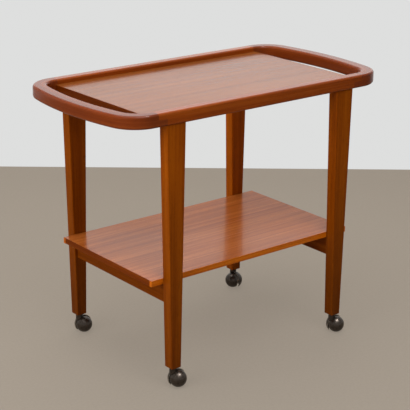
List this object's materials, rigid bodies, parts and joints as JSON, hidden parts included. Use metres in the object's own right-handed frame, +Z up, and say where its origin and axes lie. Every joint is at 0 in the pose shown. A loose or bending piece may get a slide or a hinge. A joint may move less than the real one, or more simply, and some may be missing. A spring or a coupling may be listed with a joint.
{
  "type": "bar cart",
  "caption": "Teak tea trolley: sunken tray with bowed end handles and hand slots, tapered legs, a lipped lower shelf on cross rails, and swivelling ball casters.",
  "frame": {"origin": "on the floor under the centre of the tray", "axes": "+Z up, X along the tray from handle to handle, Y across it, -Y is the front"},
  "size_m": [0.784, 0.4272, 0.648],
  "materials": {
    "teak": "satin",
    "teak_veneer": "satin",
    "teak_lipping": "satin",
    "dowel_wood": "matte",
    "bronzed_metal": "gloss",
    "steel": "satin"
  },
  "bodies": {
    "frame": {"back_left_caster_socket": "steel", "back_left_leg": "teak", "back_rail": "teak", "back_right_caster_socket": "steel", "back_right_leg": "teak", "cross_rail_dowels": "dowel_wood", "front_left_caster_socket": "steel", "front_left_leg": "teak", "front_rail": "teak", "front_right_caster_socket": "steel", "front_right_leg": "teak", "left_cross_rail": "teak", "left_handle": "teak", "leg_dowels": "dowel_wood", "right_cross_rail": "teak", "right_handle": "teak", "shelf_back_lipping": "teak_lipping", "shelf_front_lipping": "teak_lipping", "shelf_left_lipping": "teak_lipping", "shelf_panel": "teak_veneer", "shelf_right_lipping": "teak_lipping", "shelf_screws": "steel", "tray_left_lipping": "teak_lipping", "tray_panel": "teak_veneer", "tray_right_lipping": "teak_lipping"},
    "front_left_caster": {"front_left_caster_hood": "bronzed_metal", "front_left_caster_stem": "steel", "front_left_wheel_axle": "steel"},
    "front_left_roller": {"front_left_wheel": "bronzed_metal"},
    "back_left_caster": {"back_left_caster_hood": "bronzed_metal", "back_left_caster_stem": "steel", "back_left_wheel_axle": "steel"},
    "back_left_roller": {"back_left_wheel": "bronzed_metal"},
    "front_right_caster": {"front_right_caster_hood": "bronzed_metal", "front_right_caster_stem": "steel", "front_right_wheel_axle": "steel"},
    "front_right_roller": {"front_right_wheel": "bronzed_metal"},
    "back_right_caster": {"back_right_caster_hood": "bronzed_metal", "back_right_caster_stem": "steel", "back_right_wheel_axle": "steel"},
    "back_right_roller": {"back_right_wheel": "bronzed_metal"}
  },
  "joints": [
    {"name": "front_left_swivel", "type": "hinge", "parent": "frame", "child": "front_left_caster", "pos_m": [-0.247, -0.191, 0.048], "axis": [0, 0, 1], "continuous": true},
    {"name": "front_left_roll", "type": "hinge", "parent": "front_left_caster", "child": "front_left_roller", "pos_m": [-0.23768, -0.19801, 0.02], "axis": [-0.1045, -0.9945, 0], "continuous": true},
    {"name": "back_left_swivel", "type": "hinge", "parent": "frame", "child": "back_left_caster", "pos_m": [-0.247, 0.191, 0.048], "axis": [0, 0, 1], "continuous": true},
    {"name": "back_left_roll", "type": "hinge", "parent": "back_left_caster", "child": "back_left_roller", "pos_m": [-0.23793, 0.18367, 0.02], "axis": [-0.1392, -0.9903, 0], "continuous": true},
    {"name": "front_right_swivel", "type": "hinge", "parent": "frame", "child": "front_right_caster", "pos_m": [0.247, -0.191, 0.048], "axis": [0, 0, 1], "continuous": true},
    {"name": "front_right_roll", "type": "hinge", "parent": "front_right_caster", "child": "front_right_roller", "pos_m": [0.25678, -0.19735, 0.02], "axis": [-0.0349, -0.9994, 0], "continuous": true},
    {"name": "back_right_swivel", "type": "hinge", "parent": "frame", "child": "back_right_caster", "pos_m": [0.247, 0.191, 0.048], "axis": [0, 0, 1], "continuous": true},
    {"name": "back_right_roll", "type": "hinge", "parent": "back_right_caster", "child": "back_right_roller", "pos_m": [0.23905, 0.18247, 0.02], "axis": [-0.9781, 0.2079, 0], "continuous": true}
  ]
}
